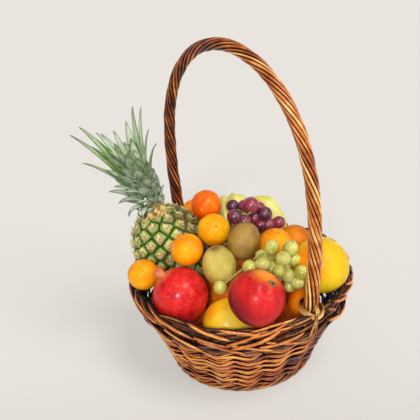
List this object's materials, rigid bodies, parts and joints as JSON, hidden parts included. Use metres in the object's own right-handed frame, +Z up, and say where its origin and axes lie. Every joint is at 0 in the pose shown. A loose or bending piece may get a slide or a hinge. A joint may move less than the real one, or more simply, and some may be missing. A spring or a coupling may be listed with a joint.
{
  "type": "fruit gift basket",
  "caption": "Oval woven willow basket with a tall twisted hoop handle, heaped above its rim with whole fruit: citrus, mangoes, kiwifruit, grapes, bananas and a pineapple.",
  "frame": {"origin": "middle of the basket's flat underside, at the level of the floor", "axes": "+Z up; the hoop handle stands in the Y-Z plane, with its front foot on the -Y side; the pineapple leans out over the -X +Y side"},
  "size_m": [0.3625, 0.3738, 0.5277],
  "materials": {
    "stained_willow": "stained and varnished willow, satin",
    "mandarin_peel": "waxy pitted citrus peel",
    "pomegranate_skin": "smooth leathery skin, satin",
    "yellow_peel": "smooth waxy peel, satin",
    "red_mango_skin": "smooth waxy skin, satin",
    "kiwifruit_skin": "fine short fuzz, matt",
    "pineapple_skin": "rough horny rind, matt",
    "crown_leaf": "thick leaves with a dull bloom",
    "banana_skin": "smooth waxy peel, satin",
    "green_grape_skin": "thin translucent skin with bloom",
    "purple_grape_skin": "thin skin with bloom"
  },
  "bodies": {
    "root": {"basket_base": "stained_willow", "foot_ring": "stained_willow", "basket_wall": "stained_willow", "rim_border": "stained_willow", "handle": "stained_willow", "handle_tie_front": "stained_willow", "handle_tie_back": "stained_willow", "mandarin_left": "mandarin_peel", "mandarin_middle": "mandarin_peel", "mandarin_upper": "mandarin_peel", "mandarin_top": "mandarin_peel", "mandarin_right": "mandarin_peel", "mandarin_rear": "mandarin_peel", "mandarin_low": "mandarin_peel", "mandarin_back": "mandarin_peel", "pomegranate": "pomegranate_skin", "mango_yellow": "yellow_peel", "mango_red": "red_mango_skin", "grapefruit": "yellow_peel", "kiwifruit_front": "kiwifruit_skin", "kiwifruit_back": "kiwifruit_skin", "lower_citrus_01": "mandarin_peel", "lower_citrus_02": "mandarin_peel", "lower_citrus_03": "mandarin_peel", "lower_citrus_04": "mandarin_peel", "lower_citrus_05": "mandarin_peel", "lower_citrus_06": "mandarin_peel", "lower_citrus_07": "mandarin_peel", "lower_citrus_08": "mandarin_peel", "lower_citrus_09": "mandarin_peel", "lower_citrus_10": "mandarin_peel", "lower_citrus_11": "mandarin_peel", "pineapple_body": "pineapple_skin", "pineapple_crown": "crown_leaf", "bananas": "banana_skin", "green_grapes": "green_grape_skin", "purple_grapes": "purple_grape_skin"}
  },
  "joints": []
}
